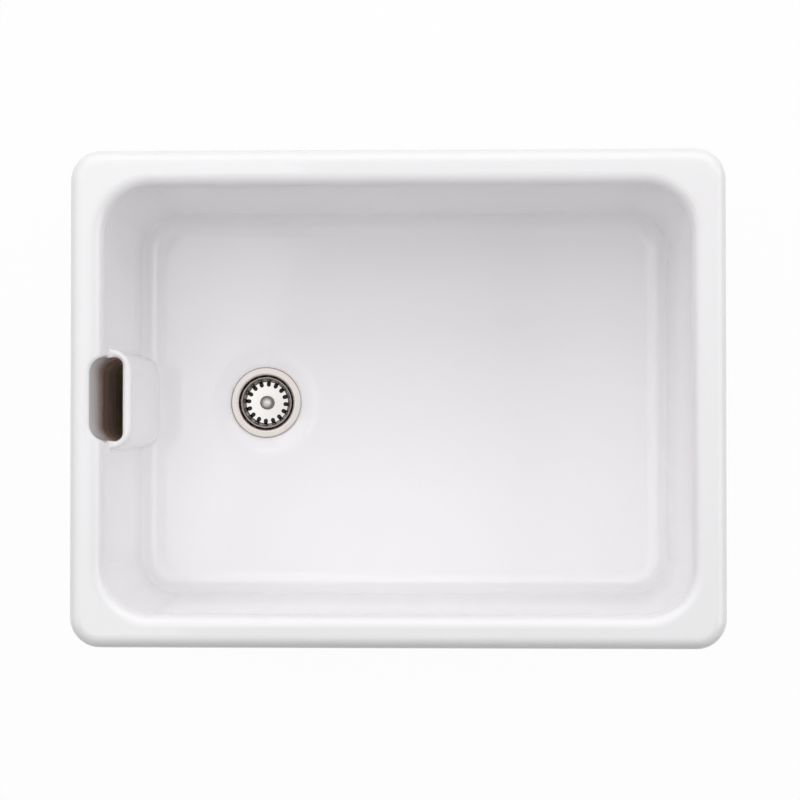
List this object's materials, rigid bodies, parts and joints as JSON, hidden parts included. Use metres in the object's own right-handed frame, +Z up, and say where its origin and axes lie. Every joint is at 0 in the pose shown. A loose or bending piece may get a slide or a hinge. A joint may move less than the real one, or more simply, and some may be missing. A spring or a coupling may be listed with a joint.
{
  "type": "belfast sink",
  "caption": "Deep rectangular fireclay kitchen sink with a thick rounded rim, a weir overflow in its end wall and a lift-out basket strainer waste.",
  "frame": {"origin": "middle of the flat base of the sink", "axes": "+Z up, +X along the width away from the overflow and the waste, -Y towards the front edge"},
  "size_m": [0.5996, 0.4556, 0.313],
  "materials": {
    "fireclay_glaze": "white gloss glaze",
    "steel": "brushed stainless",
    "bright_steel": "polished",
    "moulding": "moulded polypropylene",
    "rubber": "moulded rubber",
    "brass": "turned brass",
    "nylon": "moulded nylon"
  },
  "bodies": {
    "sink": {"sink_body": "fireclay_glaze", "flange_seal": "rubber", "strainer_bowl": "steel", "waste_body": "moulding", "body_seal": "rubber", "fixing_screw": "steel", "screw_washer": "nylon", "insert_nut": "brass"},
    "grip": {"stem_grip": "rubber"},
    "strainer": {"basket": "bright_steel", "basket_knob": "bright_steel", "basket_stem": "steel", "plug_seal": "rubber", "seal_washer": "steel", "stem_nut": "brass"}
  },
  "joints": [
    {"name": "basket_lift", "type": "slide", "parent": "sink", "child": "grip", "axis": [0, 0, 1], "range_m": [0, 0.27]},
    {"name": "basket_turn", "type": "hinge", "parent": "grip", "child": "strainer", "pos_m": [-0.14, 0, 0], "axis": [0, 0, 1], "continuous": true}
  ]
}
